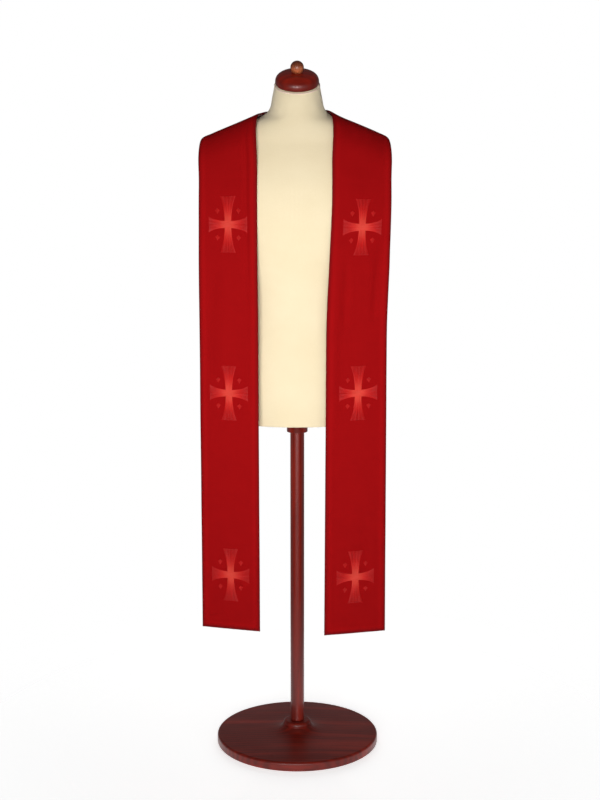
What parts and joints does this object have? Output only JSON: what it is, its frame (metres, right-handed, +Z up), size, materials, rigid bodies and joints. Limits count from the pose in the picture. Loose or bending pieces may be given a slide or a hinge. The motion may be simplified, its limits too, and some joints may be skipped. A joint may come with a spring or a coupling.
{
  "type": "clerical stole on a limbless dress form",
  "caption": "Shaped clerical stole of lined red cloth, laid round the shoulders of a limbless dress form on a round wooden stand, with both bands hanging in front.",
  "frame": {"origin": "centre of the stand base's underside, on the surface that it stands on", "axes": "+Z up along the pole; the front, where both bands hang, faces -Y; the wearer's left is at +X"},
  "size_m": [0.4388, 0.39, 1.6252],
  "materials": {
    "red_cloth": "matte red wool-like cloth, lined and interlined, with embroidered crosses",
    "cream_jersey": "cream knitted cover, matte",
    "dark_wood": "dark red-brown stain under clear gloss",
    "light_wood": "light brown, clear gloss"
  },
  "bodies": {
    "root": {"right_band": "red_cloth", "left_band": "red_cloth", "dress_form": "cream_jersey", "neck_cap": "dark_wood", "cap_knob": "light_wood", "pole_flange": "dark_wood", "stand_pole": "dark_wood", "stand_base": "dark_wood"}
  },
  "joints": []
}
